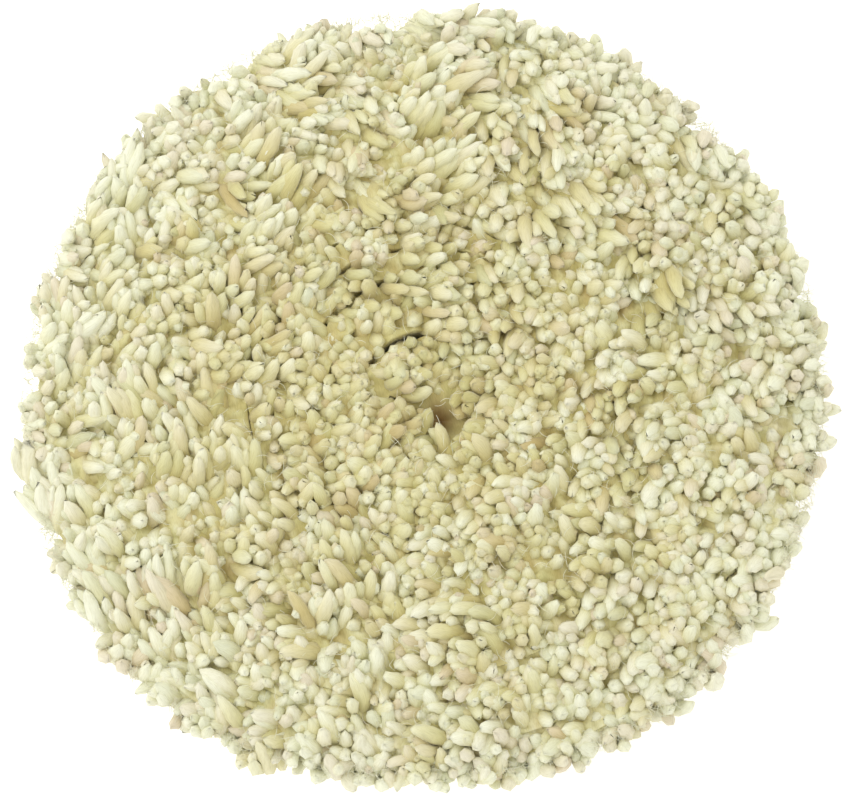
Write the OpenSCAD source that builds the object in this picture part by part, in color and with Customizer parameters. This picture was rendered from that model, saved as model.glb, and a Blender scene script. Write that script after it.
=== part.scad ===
// Wool polishing pad for a rotary polisher, in millimetres. It lies on its loop face with the wool
// up. The origin is at the centre of the loop face, and +Z runs from the loop face to the wool.
// From the bottom: loop fabric, adhesive film, felt, latex, canvas, and rings of tufted wool.

/* [Backing] */
// Diameter over the edge binding
backing_d = 178; // [170:1:186]
// Diameter of the centring hole through the whole backing
hole_d = 16; // [14:0.5:18]
// Thickness of the brushed loops on the bottom face
nap_h = 1.6; // [1.2:0.1:2.4]
// Thickness of the knitted cloth that holds the loops
cloth_h = 0.7; // [0.4:0.1:1.2]
// Thickness of the adhesive film between cloth and felt
film_h = 0.3; // [0.2:0.1:0.5]
// Thickness of the needled felt cushion
felt_h = 4.4; // [3:0.2:8]
// Thickness of the latex that locks the yarn
latex_h = 1.2; // [1:0.1:1.6]
// Thickness of the woven canvas that the yarn is tufted through
canvas_h = 1; // [0.6:0.1:1.4]

/* [Wool pile] */
// Diameter over the wool, which leans out past the backing
pad_d = 200; // [190:1:210]
// Height of the wool above the canvas
pile_h = 28; // [22:1:32]
// Number of tufted rings
rows = 16; // [12:1:18]
// Diameter of the dimple where the innermost wool closes over the hole
dimple_d = 5; // [3:0.5:8]
// How much lower the wool is at the rim than in the middle
rim_drop = 7; // [4:0.5:10]

/* [Edge binding] */
// Width of the binding on the top and bottom of the backing
binding_w = 4.6; // [4:0.2:6]
// Thickness of the binding tape
tape_h = 0.7; // [0.5:0.1:1]
// Number of stitches that hold the binding
edge_stitch_count = 72; // [48:4:96]

/* [Lock stitches] */
// Radius of the stitch ring by the centring hole
inner_lock_r = 13; // [12:0.5:16]
// Radius of the stitch ring by the edge
outer_lock_r = 76; // [70:1:78]
// Length of one stitch
stitch_len = 5; // [4:0.5:7]
// Gap between one stitch and the next
stitch_gap = 2; // [1.5:0.5:3]
// Diameter of the sewing thread
thread_d = 0.8; // [0.6:0.1:0.9]

/* [Hidden] */
$fn = 96;
wool_colour = "#e6dfb8";
yarn_root_colour = "#c3b684";
canvas_colour = "#cfc7a2";
latex_colour = "#e9e3c9";
felt_colour = "#d9d6cc";
film_colour = "#b9a878";
loop_colour = "#f0efe9";
binding_colour = "#e4e0d0";
thread_colour = "#f5f3ea";

hole_r = hole_d / 2;
backing_r = backing_d / 2;
pad_r = pad_d / 2;

// heights of the layers' undersides, from the loop face up
cloth_z = nap_h;
film_z = cloth_z + cloth_h;
felt_z = film_z + film_h;
latex_z = felt_z + felt_h;
canvas_z = latex_z + latex_h;
wool_z = canvas_z + canvas_h;

// the layers end inside the binding tape
tape_clear = 0.1;
layer_r = backing_r - tape_h - tape_clear;
binding_in_r = backing_r - binding_w;

// the tufted rings, from the hole's edge to the binding
row_gap = 0.3;
row_edge_in = hole_r + 0.7;
row_edge_out = binding_in_r - 0.2;
row_pitch = (row_edge_out - row_edge_in) / rows;
tip_crown = 0.9;
side_steps = 5;
// the lean follows a sine that passes its peak at this angle's share, so the rim is rounded
lean_turn = 115;

// the flat yarn stitches on the canvas's back, sunk in the latex
back_stitch_w = 3.4;
back_stitch_h = 0.9;

function row_name(i) = str("pile_row_", i < 10 ? "0" : "", i);
row_numbers = [for (i = [1:rows]) i];

// ---------- shared shapes ----------

// A flat ring from radius r_in to radius r_out
module washer(r_in, r_out, z, h) {
    translate([0, 0, z])
        difference() {
            cylinder(r = r_out, h = h);
            translate([0, 0, -1]) cylinder(r = r_in, h = h + 2);
        }
}

// A rectangle with round corners, from corner a to corner b
module round_rect(a, b, r) {
    w = b[0] - a[0];
    h = b[1] - a[1];
    translate([a[0] + r, a[1]]) square([w - 2 * r, h]);
    translate([a[0], a[1] + r]) square([w, h - 2 * r]);
    for (x = [a[0] + r, b[0] - r], y = [a[1] + r, b[1] - r])
        translate([x, y]) circle(r = r);
}

// ---------- wool ----------

// The radius of the border between ring i and ring i + 1 where it leaves the canvas
function border_r(i) = row_edge_in + i * row_pitch;

// How far out border i is where it leans most. The tips spread until the wool is as dense all over
// the face, so equal areas of canvas carry equal areas of tips, from the dimple to the rim.
dimple_r = dimple_d / 2;
rim_r = pad_r + row_gap / 2;
function spread_r(i) = sqrt(
    pow(dimple_r, 2) + (pow(rim_r, 2) - pow(dimple_r, 2))
    * (pow(border_r(i), 2) - pow(row_edge_in, 2)) / (pow(row_edge_out, 2) - pow(row_edge_in, 2))
);
function widest_lean(i) = spread_r(i) - border_r(i);

// How high the wool on border i stands
function tip_h(i) = pile_h - tip_crown - rim_drop * pow(i / rows, 4);

// A point on border i, where t goes from 0 at the canvas to 1 at the tips
function border_point(i, t, side) = [
    border_r(i) + widest_lean(i) * sin(lean_turn * t) + side * row_gap / 2,
    wool_z + tip_h(i) * t
];

function border_line(i, side) = [for (s = [0:side_steps]) border_point(i, s / side_steps, side)];
function reversed(list) = [for (j = [len(list) - 1:-1:0]) list[j]];

// One ring of tufts, with crowned tips
module pile_row(i) {
    inside = border_line(i - 1, 1);
    outside = border_line(i, -1);
    crown = (inside[side_steps] + outside[side_steps]) / 2 + [0, tip_crown];
    color(wool_colour)
        rotate_extrude()
            polygon(concat(inside, [crown], reversed(outside)));
}

// The section of the flat yarn under ring i; grow makes the groove it lies in
module back_stitch_section(i, grow) {
    r = (border_r(i - 1) + border_r(i)) / 2;
    round_rect(
        [r - back_stitch_w / 2 - grow, canvas_z - back_stitch_h - grow],
        [r + back_stitch_w / 2 + grow, canvas_z],
        back_stitch_h / 2 - 0.05
    );
}

module back_stitches() {
    color(yarn_root_colour)
        for (i = row_numbers)
            rotate_extrude() back_stitch_section(i, 0);
}

// ---------- layers ----------

module canvas() {
    color(canvas_colour) washer(hole_r, layer_r, canvas_z, canvas_h);
}

module latex_coat() {
    color(latex_colour)
        difference() {
            washer(hole_r, layer_r, latex_z, latex_h);
            for (i = row_numbers)
                rotate_extrude() back_stitch_section(i, 0.05);
        }
}

module felt_cushion() {
    color(felt_colour) washer(hole_r, layer_r, felt_z, felt_h);
}

module adhesive_film() {
    color(film_colour) washer(hole_r, layer_r, film_z, film_h);
}

module loop_cloth() {
    color(loop_colour) washer(hole_r, layer_r, cloth_z, cloth_h);
}

// The brushed loops, parted along the two stitch rings and held back from the binding
stitch_lane_w = thread_d + 1.2;
nap_out_r = binding_in_r - 0.4;
module loop_nap() {
    color(loop_colour)
        difference() {
            washer(hole_r, nap_out_r, 0, nap_h);
            for (r = [inner_lock_r, outer_lock_r])
                washer(r - stitch_lane_w / 2, r + stitch_lane_w / 2, -1, nap_h + 2);
        }
}

// ---------- binding and stitches ----------

// Tape folded round the edge of the layers
tape_low_z = cloth_z - tape_h;
tape_high_z = wool_z + tape_h;
module edge_binding() {
    color(binding_colour)
        rotate_extrude()
            difference() {
                round_rect([binding_in_r, tape_low_z], [backing_r, tape_high_z], tape_h / 2 - 0.02);
                translate([binding_in_r - 1, cloth_z])
                    square([layer_r + tape_clear - binding_in_r + 1, wool_z - cloth_z]);
            }
}

// One thread from the inner edge of the tape's top, round the rim, to the inner edge of its bottom
stitch_in_r = binding_in_r + 0.8;
stitch_out_r = backing_r + thread_d / 2;
stitch_low_z = tape_low_z - thread_d / 2;
stitch_high_z = tape_high_z + thread_d / 2;
module edge_stitch() {
    for (z = [stitch_low_z, stitch_high_z]) {
        translate([stitch_in_r, 0, z]) sphere(d = thread_d, $fn = 24);
        translate([stitch_in_r, 0, z])
            rotate([0, 90, 0])
                cylinder(d = thread_d, h = stitch_out_r - stitch_in_r, $fn = 24);
        translate([stitch_out_r, 0, z]) sphere(d = thread_d, $fn = 24);
    }
    translate([stitch_out_r, 0, stitch_low_z])
        cylinder(d = thread_d, h = stitch_high_z - stitch_low_z, $fn = 24);
}

module edge_stitches() {
    color(thread_colour)
        for (i = [0:edge_stitch_count - 1])
            rotate([0, 0, 360 * i / edge_stitch_count]) edge_stitch();
}

// A ring of curved stitches that lie against the loop cloth
module lock_stitches(r) {
    count = round(2 * PI * r / (stitch_len + stitch_gap));
    turn = 360 / count;
    arc = turn * stitch_len / (stitch_len + stitch_gap);
    color(thread_colour)
        for (i = [0:count - 1])
            rotate([0, 0, i * turn])
                rotate_extrude(angle = arc)
                    translate([r, cloth_z - thread_d / 2]) circle(d = thread_d, $fn = 24);
}

module inner_lock_stitches() {
    lock_stitches(inner_lock_r);
}

module outer_lock_stitches() {
    lock_stitches(outer_lock_r);
}

// ---------- what is drawn ----------

for (i = row_numbers)
    pile_row(i);
back_stitches();
canvas();
latex_coat();
felt_cushion();
adhesive_film();
loop_cloth();
loop_nap();
edge_binding();
edge_stitches();
inner_lock_stitches();
outer_lock_stitches();
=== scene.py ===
"""Wool polishing pad: rings of twisted wool yarn on a stitched hook-and-loop backing."""

import math

import bpy
import numpy as np
from mathutils import Matrix, Vector


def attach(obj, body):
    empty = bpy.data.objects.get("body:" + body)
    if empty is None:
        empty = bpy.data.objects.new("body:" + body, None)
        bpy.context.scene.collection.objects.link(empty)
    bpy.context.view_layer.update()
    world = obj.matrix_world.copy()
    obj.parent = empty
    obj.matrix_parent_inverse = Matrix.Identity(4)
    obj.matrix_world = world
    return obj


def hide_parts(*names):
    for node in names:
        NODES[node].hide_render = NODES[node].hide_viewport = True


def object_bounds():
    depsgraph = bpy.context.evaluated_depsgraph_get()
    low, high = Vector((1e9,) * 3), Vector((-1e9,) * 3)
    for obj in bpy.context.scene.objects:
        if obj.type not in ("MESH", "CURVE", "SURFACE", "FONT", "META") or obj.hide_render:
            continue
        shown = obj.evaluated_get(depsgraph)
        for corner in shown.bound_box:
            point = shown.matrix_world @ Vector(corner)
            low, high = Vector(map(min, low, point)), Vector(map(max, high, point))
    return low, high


bl_info = {
    "name": "Wool polishing pad",
    "version": (1, 0, 0),
    "blender": (4, 5, 0),
    "location": "View3D > Sidebar > Pad",
    "description": "Makes a tufted wool polishing pad around its packed frame",
    "category": "Object",
}

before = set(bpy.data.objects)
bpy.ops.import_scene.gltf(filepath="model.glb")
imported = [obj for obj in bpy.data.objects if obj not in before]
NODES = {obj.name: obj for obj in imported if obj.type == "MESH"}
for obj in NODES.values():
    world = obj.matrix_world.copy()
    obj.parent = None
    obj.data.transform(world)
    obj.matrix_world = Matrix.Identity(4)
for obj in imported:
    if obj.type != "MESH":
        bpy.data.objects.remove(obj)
CAD_LOW, CAD_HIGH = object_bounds()
BODY = "root"
MM = 0.001

# the angle at which a tuft's lean ends; its lean follows the sine of this angle's share
LEAN_TURN = math.radians(115)


# ---------- sizes read from the frame ----------

def ring_names():
    """The names of the tufted rings' nodes, from the hole outwards."""
    return sorted(name for name in NODES if name.startswith("pile_row_"))


def node_points(name):
    """A node's points as rows of x, y, z."""
    mesh = NODES[name].data
    points = np.empty(len(mesh.vertices) * 3)
    mesh.vertices.foreach_get("co", points)
    return points.reshape(-1, 3)


class Layer:
    """A flat or tubular ring's size, read from its node."""

    def __init__(self, name):
        points = node_points(name)
        radius = np.hypot(points[:, 0], points[:, 1])
        self.r_in, self.r_out = radius.min(), radius.max()
        self.low, self.high = points[:, 2].min(), points[:, 2].max()
        self.middle = (self.r_in + self.r_out) / 2
        self.area = math.pi * (self.r_out ** 2 - self.r_in ** 2)


class Section:
    """A tufted ring's size: its feet's and its tips' radii, and its lowest and highest z."""

    def __init__(self, name):
        points = node_points(name)
        radius = np.hypot(points[:, 0], points[:, 1])
        z = points[:, 2]
        self.low, self.high = z.min(), z.max()
        foot = radius[z < self.low + 0.05 * MM]
        self.foot_in, self.foot_out = foot.min(), foot.max()
        self.foot = (self.foot_in + self.foot_out) / 2
        self.tip = radius[z > self.high - 0.05 * MM].mean()


def ring_sections():
    """Each ring's section. The tips of neighbouring rings meet half way between their middles."""
    sections = {name: Section(name) for name in ring_names()}
    tips = np.array([section.tip for section in sections.values()])
    borders = (tips[1:] + tips[:-1]) / 2
    inner = [2 * tips[0] - borders[0], *borders]
    outer = [*borders, 2 * tips[-1] - borders[-1]]
    for section, tip_in, tip_out in zip(sections.values(), inner, outer):
        section.tip_in, section.tip_out = tip_in, tip_out
    return sections


# ---------- colours and nodes ----------

def linear(hex_colour):
    """An sRGB hex colour as the linear red, green, blue and alpha that a shader takes."""
    out = []
    for start in (1, 3, 5):
        value = int(hex_colour[start:start + 2], 16) / 255
        out.append(value / 12.92 if value <= 0.04045 else ((value + 0.055) / 1.055) ** 2.4)
    return (*out, 1.0)


def add_node(tree, kind, inputs=None, **settings):
    """Adds a node. inputs gives each socket a value or another node's output to read."""
    node = tree.nodes.new(kind)
    for key, value in settings.items():
        setattr(node, key, value)
    for key, value in (inputs or {}).items():
        if isinstance(value, bpy.types.NodeSocket):
            tree.links.new(value, node.inputs[key])
        else:
            node.inputs[key].default_value = value
    return node


def set_ramp(node, stops):
    """Gives a colour ramp its stops, each a place from 0 to 1 and a hex or linear colour."""
    elements = node.color_ramp.elements
    while len(elements) < len(stops):
        elements.new(1.0)
    for element, (place, shade) in zip(elements, stops):
        element.position = place
        element.color = linear(shade) if isinstance(shade, str) else shade
    return node.outputs["Color"]


def new_material(name, plain_colour, **values):
    """A material with one Principled shader, whose fixed values are set on its own sockets."""
    material = bpy.data.materials.new(name)
    material.use_nodes = True
    material.diffuse_color = linear(plain_colour)
    shader = material.node_tree.nodes["Principled BSDF"]
    shader.inputs["Base Color"].default_value = linear(plain_colour)
    for key, value in values.items():
        shader.inputs[key.replace("_", " ")].default_value = value
    return material, material.node_tree, shader


def wool_material(settings):
    """Undyed twisted wool, cut and teased at the ends: a matt cream, pale at the cut tips and darkening
    with depth below them to olive brown, which is painted shade down between the yarns and in the
    dimple, with fine streaks along them."""
    material, tree, shader = new_material(
        "twisted_wool_yarn", "#e4dfb6",
        Roughness=0.95, Sheen_Weight=0.5, Sheen_Roughness=0.6,
        Sheen_Tint=linear("#fffdf0"), Specular_IOR_Level=0.1,
    )
    # painted shade: the depth attribute grows from the tips down into the wool, and this ramp darkens
    # the colour with it, to the deep shade colour at the dimple's bottom
    depth = add_node(tree, "ShaderNodeAttribute", attribute_name="depth")
    shade = add_node(tree, "ShaderNodeAttribute", attribute_name="shade")
    depths = add_node(tree, "ShaderNodeValToRGB", {"Fac": depth.outputs["Fac"]})
    wool = set_ramp(depths, [(0.0, settings.tip_colour), (0.15, "#efecd8"), (0.35, "#e6e0be"),
                             (0.55, "#dcd4a6"), (0.7, "#d0c48e"),
                             (1.0, settings.deep_shade_colour)])
    # each ply has its own cast, from a pinkish cream to a greenish one
    casts = add_node(tree, "ShaderNodeValToRGB", {"Fac": shade.outputs["Fac"]})
    cast = set_ramp(casts, [(0.0, "#e8d8be"), (0.3, "#f6f2dc"), (0.55, "#fdffea"),
                            (0.8, "#f2f5da"), (1.0, "#e0e4c4")])
    dyed = add_node(tree, "ShaderNodeMix", {"Factor": 0.75, "A": wool, "B": cast},
                    data_type="RGBA", blend_type="MULTIPLY")
    # single fibres are too fine to show, so strands 0.3 mm apart run along the ply instead
    ply_map = add_node(tree, "ShaderNodeUVMap", uv_map="ply")
    stretch = add_node(tree, "ShaderNodeMapping",
                       {"Vector": ply_map.outputs["UV"], "Scale": (22.0, 0.8, 1.0)})
    fibres = add_node(tree, "ShaderNodeTexNoise",
                      {"Vector": stretch.outputs["Vector"], "Scale": 1.0, "Detail": 3.0,
                       "Roughness": 0.65})
    streaks = add_node(tree, "ShaderNodeValToRGB", {"Fac": fibres.outputs["Fac"]})
    streak = set_ramp(streaks, [(0.32, "#d8d2bc"), (0.55, "#ffffff")])
    streaked = add_node(tree, "ShaderNodeMix",
                        {"Factor": 0.45, "A": dyed.outputs["Result"], "B": streak},
                        data_type="RGBA", blend_type="MULTIPLY")
    tree.links.new(streaked.outputs["Result"], shader.inputs["Base Color"])
    bump = add_node(tree, "ShaderNodeBump",
                    {"Height": fibres.outputs["Fac"], "Strength": 0.3, "Distance": 0.2 * MM})
    tree.links.new(bump.outputs["Normal"], shader.inputs["Normal"])
    return material


def object_noise(tree, scale, stretch=(1, 1, 1), **values):
    """Fine noise fixed to the piece. scale is the number of its lumps in a metre."""
    place = add_node(tree, "ShaderNodeTexCoord").outputs["Object"]
    stretched = add_node(tree, "ShaderNodeMapping", {"Vector": place, "Scale": stretch})
    return add_node(tree, "ShaderNodeTexNoise",
                    {"Vector": stretched.outputs["Vector"], "Scale": scale, **values})


def colour_from(tree, shader, noise, stops):
    """Colours the shader by a noise, through a ramp of the given stops."""
    ramp = add_node(tree, "ShaderNodeValToRGB", {"Fac": noise})
    tree.links.new(set_ramp(ramp, stops), shader.inputs["Base Color"])


def bump_from(tree, shader, height, strength, depth):
    """Raises the surface by a height from 0 to 1, whose full rise is depth."""
    bump = add_node(tree, "ShaderNodeBump",
                    {"Height": height, "Strength": strength, "Distance": depth})
    tree.links.new(bump.outputs["Normal"], shader.inputs["Normal"])


def weave_height(tree, pitch):
    """The height of a plain weave: threads a pitch apart that pass over and under by turns."""
    place = add_node(tree, "ShaderNodeTexCoord").outputs["Object"]
    threads = {}
    for axis in ("X", "Y"):
        wave = add_node(tree, "ShaderNodeTexWave",
                        {"Vector": place, "Scale": math.pi / 10 / pitch, "Distortion": 0.6,
                         "Detail Scale": 0.3},
                        wave_type="BANDS", bands_direction=axis)
        threads[axis] = wave.outputs["Fac"]
    over = add_node(tree, "ShaderNodeTexChecker",
                    {"Vector": place, "Scale": 1 / pitch}).outputs["Fac"]
    return add_node(tree, "ShaderNodeMix",
                    {"Factor": over, "A": threads["X"], "B": threads["Y"]}).outputs["Result"]


def canvas_material():
    """Unbleached cotton canvas in a plain weave of 0.9 mm: matt, with a small crisp relief."""
    material, tree, shader = new_material(
        "woven_cotton_canvas", "#d2caa6", Roughness=0.9, Sheen_Weight=0.15,
        Specular_IOR_Level=0.2)
    slubs = object_noise(tree, 240, (1, 5, 1), Detail=3.0).outputs["Fac"]
    colour_from(tree, shader, slubs, [(0.3, "#bdb389"), (0.7, "#ddd6b6")])
    bump_from(tree, shader, weave_height(tree, 0.9 * MM), 0.7, 0.2 * MM)
    return material


def felt_material():
    """Needled polyester felt: matted fibres that lie flat, with paler and greyer tangles."""
    material, tree, shader = new_material(
        "needled_polyester_felt", "#d9d6cc", Roughness=0.95, Sheen_Weight=0.3,
        Specular_IOR_Level=0.1)
    tangles = object_noise(tree, 900, (1, 1, 3), Detail=5.0, Distortion=1.5).outputs["Fac"]
    colour_from(tree, shader, tangles, [(0.3, "#b9b4a6"), (0.55, "#d9d6cc"), (0.8, "#efede6")])
    bump_from(tree, shader, tangles, 0.8, 0.3 * MM)
    return material


def latex_material():
    """Latex brushed on wet and cured: a satin, slightly yellowed skin with brush ripples."""
    material, tree, shader = new_material(
        "brushed_on_latex", "#e6dcb8", Roughness=0.42, Specular_IOR_Level=0.5,
        Coat_Weight=0.1, Coat_Roughness=0.3)
    ripples = object_noise(tree, 300, (1, 3, 2), Detail=2.0).outputs["Fac"]
    colour_from(tree, shader, ripples, [(0.3, "#d8c996"), (0.7, "#eee6ca")])
    bump_from(tree, shader, ripples, 0.4, 0.15 * MM)
    return material


def film_material():
    """Hot-melt film pressed between felt and cloth: an amber line with a soft gloss."""
    material, tree, shader = new_material(
        "hot_melt_film", "#b9a878", Roughness=0.35, Specular_IOR_Level=0.5)
    runs = object_noise(tree, 500, (1, 1, 1), Detail=2.0).outputs["Fac"]
    colour_from(tree, shader, runs, [(0.35, "#a08a52"), (0.7, "#c9ba8c")])
    bump_from(tree, shader, runs, 0.3, 0.1 * MM)
    return material


def loop_cloth_material():
    """Warp-knitted nylon cloth: fine even courses with a slight shine."""
    material, tree, shader = new_material(
        "warp_knitted_nylon", "#eceae2", Roughness=0.6, Sheen_Weight=0.3,
        Specular_IOR_Level=0.4)
    knit = weave_height(tree, 0.6 * MM)
    # painted shade: the knit is coloured greyer where its threads dip, in the hollows between them
    colour_from(tree, shader, knit, [(0.0, "#c4c1b6"), (0.6, "#f1efe8")])
    bump_from(tree, shader, knit, 0.8, 0.2 * MM)
    return material


def loop_nap_material(settings):
    """Brushed nylon loops: white and slightly translucent, greyer where they mat together."""
    material, tree, shader = new_material(
        "brushed_nylon_loops", "#f0efe9", Roughness=0.55, Sheen_Weight=0.5,
        Sheen_Roughness=0.4, Specular_IOR_Level=0.4)
    matting = object_noise(tree, 420, (1, 1, 1), Detail=5.0).outputs["Fac"]
    colour_from(tree, shader, matting, [(0.3, "#dddbd2"), (0.55, settings.loop_colour),
                                         (0.75, "#f8f7f2")])
    fibres = object_noise(tree, 4000, (1, 1, 1), Detail=2.0).outputs["Fac"]
    bump_from(tree, shader, fibres, 0.6, 0.1 * MM)
    return material


def binding_material(settings):
    """Woven twill tape: slanting ribs, rubbed a little darker here and there round the rim. They
    are 1.6 mm apart, where real ones are about 1 mm, so that they show."""
    rib_spacing = 1.555
    material, tree, shader = new_material(
        "cotton_twill_tape", "#e4e0d0", Roughness=0.85, Sheen_Weight=0.2,
        Specular_IOR_Level=0.25)
    tape_map = add_node(tree, "ShaderNodeUVMap", uv_map="tape").outputs["UV"]
    ribs = add_node(tree, "ShaderNodeTexWave",
                    {"Vector": tape_map, "Scale": math.pi / 10 * math.sqrt(2) / rib_spacing,
                     "Distortion": 0.4, "Detail Scale": 0.5},
                    wave_type="BANDS", bands_direction="DIAGONAL").outputs["Fac"]
    # painted shade and highlight: the ribs are coloured darker in their grooves and paler on their
    # crests
    ribbed = add_node(tree, "ShaderNodeValToRGB", {"Fac": ribs})
    cloth = set_ramp(ribbed, [(0.0, "#c6c0aa"), (0.5, settings.tape_colour), (1.0, "#efecdf")])
    rub = object_noise(tree, 60, (1, 1, 1), Detail=4.0).outputs["Fac"]
    rubbed = add_node(tree, "ShaderNodeValToRGB", {"Fac": rub})
    wear = set_ramp(rubbed, [(0.35, "#e0dac8"), (0.6, "#ffffff")])
    worn = add_node(tree, "ShaderNodeMix", {"Factor": 0.7, "A": cloth, "B": wear},
                    data_type="RGBA", blend_type="MULTIPLY")
    tree.links.new(worn.outputs["Result"], shader.inputs["Base Color"])
    bump_from(tree, shader, ribs, 0.7, 0.2 * MM)
    return material


def thread_material(settings):
    """Two-ply polyester sewing thread: smooth and slightly shiny along its twist."""
    material, tree, shader = new_material(
        "twisted_polyester_thread", "#f5f3ea", Roughness=0.45, Sheen_Weight=0.2,
        Specular_IOR_Level=0.5)
    strands = object_noise(tree, 3000, (1, 1, 1), Detail=2.0).outputs["Fac"]
    colour_from(tree, shader, strands, [(0.3, "#dcd8c8"), (0.6, settings.thread_colour)])
    bump_from(tree, shader, strands, 0.4, 0.05 * MM)
    return material


# ---------- shared shapes ----------

def unit(vectors):
    """The vectors at length 1."""
    return vectors / np.linalg.norm(vectors, axis=-1, keepdims=True)


def tube_frames(centres, across):
    """Two directions across each point of each tube, worked out from a rough one."""
    along = unit(np.gradient(centres, axis=1))
    first = unit(np.cross(along, across[:, None, :]))
    return first, np.cross(along, first)


def sweep_tubes(centres, across, radii, sides):
    """Closed round tubes, as points and faces. centres is tubes by rings by 3, and radii is tubes
    by rings."""
    tubes, rings = radii.shape
    first, second = tube_frames(centres, across)
    angle = np.arange(sides) * 2 * math.pi / sides
    offset = (np.cos(angle)[:, None] * first[:, :, None, :]
              + np.sin(angle)[:, None] * second[:, :, None, :])
    walls = centres[:, :, None, :] + offset * radii[:, :, None, None]
    per_tube = rings * sides + 2
    points = np.empty((tubes, per_tube, 3))
    points[:, :-2] = walls.reshape(tubes, -1, 3)
    points[:, -2] = centres[:, 0]
    points[:, -1] = centres[:, -1]
    ring = np.arange(rings - 1)[:, None] * sides
    side = np.arange(sides)[None, :]
    after = (side + 1) % sides
    quads = np.stack([ring + side, ring + after, ring + after + sides, ring + side + sides],
                     axis=-1).reshape(-1, 4)
    last = (rings - 1) * sides
    foot = [[(s + 1) % sides, s, per_tube - 2] for s in range(sides)]
    tip = [[last + s, last + (s + 1) % sides, per_tube - 1] for s in range(sides)]
    caps = np.array(foot + tip)
    start = (np.arange(tubes) * per_tube)[:, None, None]
    faces = (quads + start).reshape(-1, 4).tolist() + (caps + start).reshape(-1, 3).tolist()
    return points.reshape(-1, 3), faces


def revolve(radius, z):
    """A closed section turned round the axis, as points and faces. Each row of radius and z is the
    section at one angle, and runs up its inner side and down its outer side."""
    count, wide = radius.shape
    angle = np.arange(count)[:, None] * 2 * math.pi / count
    points = np.stack([radius * np.cos(angle), radius * np.sin(angle), z], axis=-1)
    return points.reshape(-1, 3), turned_faces(count, wide)


def turned_faces(count, wide):
    """The faces of a closed section of wide points, turned round in count steps."""
    row = np.arange(count)[:, None] * wide
    next_row = (np.arange(count)[:, None] + 1) % count * wide
    col = np.arange(wide)[None, :]
    next_col = (col + 1) % wide
    faces = np.stack([row + col, row + next_col, next_row + next_col, next_row + col], axis=-1)
    return faces.reshape(-1, 4).tolist()


def washer_section(r_in, r_out, low, high, steps, edge):
    """A flat ring's section with slightly rounded edges, up its inner side and down its outer."""
    across = np.linspace(r_in + edge, r_out - edge, steps)
    radius = np.concatenate([[r_in, r_in], across, [r_out, r_out], across[::-1]])
    z = np.concatenate([[low + edge, high - edge], np.full(steps, high),
                        [high - edge, low + edge], np.full(steps, low)])
    return radius, z


def twist_thread(lines, across, thread_d, pitch):
    """The two plies of each thread as closed tubes, wound round each other along its line."""
    first, second = tube_frames(lines, across)
    steps = np.linalg.norm(np.diff(lines, axis=1), axis=-1)
    along = np.concatenate([np.zeros((len(lines), 1)), np.cumsum(steps, axis=1)], axis=1)
    plies = []
    for half in (0, 0.5):
        angle = 2 * math.pi * (half + along / pitch)
        plies.append(lines + thread_d * 0.22 * (np.cos(angle)[..., None] * first
                                                + np.sin(angle)[..., None] * second))
    centres = np.concatenate(plies)
    radii = np.full(centres.shape[:2], thread_d * 0.29)
    return sweep_tubes(centres, np.tile(across, (2, 1)), radii, 6)


def join(shapes):
    """Several shapes as one: their points in a row, and their faces numbered to match."""
    all_points, all_faces, start = [], [], 0
    for points, faces in shapes:
        all_points.append(points)
        all_faces += [[corner + start for corner in face] for face in faces]
        start += len(points)
    return np.concatenate(all_points), all_faces


def headings(angle):
    """The x and y of each angle's direction."""
    return np.stack([np.cos(angle), np.sin(angle)], axis=-1)


def per_point(values, sides):
    """Spreads a value for each tube and ring over that tube's points."""
    tubes, rings = values.shape
    walls = np.repeat(values[:, :, None], sides, axis=2).reshape(tubes, -1)
    return np.concatenate([walls, values[:, :1], values[:, -1:]], axis=1).ravel()


def new_piece(name, points, faces, material):
    """A smooth-shaded object from points and faces."""
    mesh = bpy.data.meshes.new(name)
    mesh.from_pydata(points.tolist(), [], faces)
    mesh.shade_smooth()
    mesh.materials.append(material)
    piece = bpy.data.objects.new(name, mesh)
    bpy.context.scene.collection.objects.link(piece)
    return piece


def add_attribute(piece, name, values):
    """A number for each point, which the piece's material reads."""
    attribute = piece.data.attributes.new(name, "FLOAT", "POINT")
    attribute.data.foreach_set("value", values.astype(np.float32))


def add_uv_map(piece, name, places):
    """A UV map whose places are held by the points."""
    mesh = piece.data
    corners = np.empty(len(mesh.loops), np.int32)
    mesh.loops.foreach_get("vertex_index", corners)
    uv = places[corners].astype(np.float32)
    mesh.uv_layers.new(name=name).data.foreach_set("uv", uv.ravel())


# ---------- wool ----------

def waves(x, y, length, seed, count=7):
    """Smooth ups and downs over the pad, about -1 to 1, whose waves are about length long."""
    rng = np.random.default_rng(seed)
    out = np.zeros_like(x)
    for _ in range(count):
        heading, start = rng.uniform(0, 2 * math.pi, 2)
        pace = 2 * math.pi / (length * rng.uniform(0.7, 1.4))
        out += np.sin(pace * (x * math.cos(heading) + y * math.sin(heading)) + start)
    return out / math.sqrt(count)


def patch_flow(x, y, length, seed, count=7):
    """Smooth drifts over the pad, about length across, that nowhere bunch up or part."""
    rng = np.random.default_rng(seed)
    out = np.zeros((*x.shape, 2))
    for _ in range(count):
        heading, start = rng.uniform(0, 2 * math.pi, 2)
        pace = 2 * math.pi / (length * rng.uniform(0.7, 1.4))
        swing = np.sin(pace * (x * math.cos(heading) + y * math.sin(heading)) + start)
        out += swing[..., None] * (-math.sin(heading), math.cos(heading))
    return out * math.sqrt(2 / count)


def clump_centres(radius, spacing, rng):
    """Points strewn over the pad at about even spacing, which neighbouring yarns lean to."""
    reach = int(radius / spacing) + 1
    steps = np.arange(-reach, reach + 1) * spacing
    x, y = np.meshgrid(steps, steps)
    x = x + (np.arange(len(steps)) % 2 * spacing / 2)[:, None]
    jitter = rng.uniform(-0.42, 0.42, (2, x.size)) * spacing
    return np.stack([x.ravel() + jitter[0], y.ravel() + jitter[1]], axis=1)


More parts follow.
